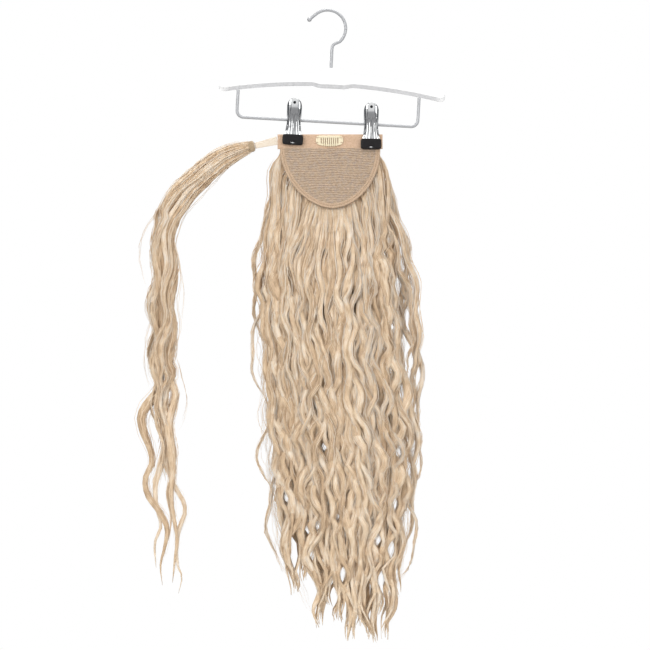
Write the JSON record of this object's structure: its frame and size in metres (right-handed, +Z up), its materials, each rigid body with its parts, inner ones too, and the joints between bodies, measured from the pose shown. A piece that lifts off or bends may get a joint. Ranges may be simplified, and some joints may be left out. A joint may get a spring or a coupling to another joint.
{
  "type": "ponytail hairpiece on a clip hanger",
  "caption": "Wrap-round ponytail hairpiece with a net base, snap comb, strap and long wavy hair, hung from a small clip hanger.",
  "frame": {"origin": "the inside of the hook's top, where a rod carries it", "axes": "+Z up, the cloth base faces -Y, +X to the right in the pictured view"},
  "size_m": [0.3347, 0.0528, 0.6916],
  "materials": {
    "wire": "matt grey coated wire",
    "arm": "white moulded plastic",
    "clip_steel": "bright chrome plate",
    "pad": "black dipped rubber",
    "ribbon": "smooth woven ribbon",
    "net": "knitted net with fine ribs",
    "tape": "folded binding tape",
    "comb_enamel": "cream enamel",
    "strap": "cream satin ribbon",
    "weft": "stitched weft",
    "hair": "wavy fibre with a soft sheen"
  },
  "bodies": {
    "hairpiece": {"top_band": "ribbon", "net_cap": "net", "edge_binding": "tape", "comb_frame": "comb_enamel", "hair_fall": "hair", "wrap_strap": "strap", "wrap_collar": "weft", "wrap_hair": "hair", "hanger_hook": "wire", "hanger_arm": "arm", "hanger_rail": "wire", "clip_left_front_jaw": "clip_steel", "clip_left_back_jaw": "clip_steel", "clip_left_front_pad": "pad", "clip_left_back_pad": "pad", "clip_left_spring": "wire", "clip_right_front_jaw": "clip_steel", "clip_right_back_jaw": "clip_steel", "clip_right_front_pad": "pad", "clip_right_back_pad": "pad", "clip_right_spring": "wire"},
    "comb": {"comb_teeth": "comb_enamel"}
  },
  "joints": [
    {"name": "comb_snap", "type": "hinge", "parent": "hairpiece", "child": "comb", "pos_m": [0.0022, -0.0022, -0.1365], "axis": [-1, 0, 0], "range_deg": [0, 30]}
  ]
}
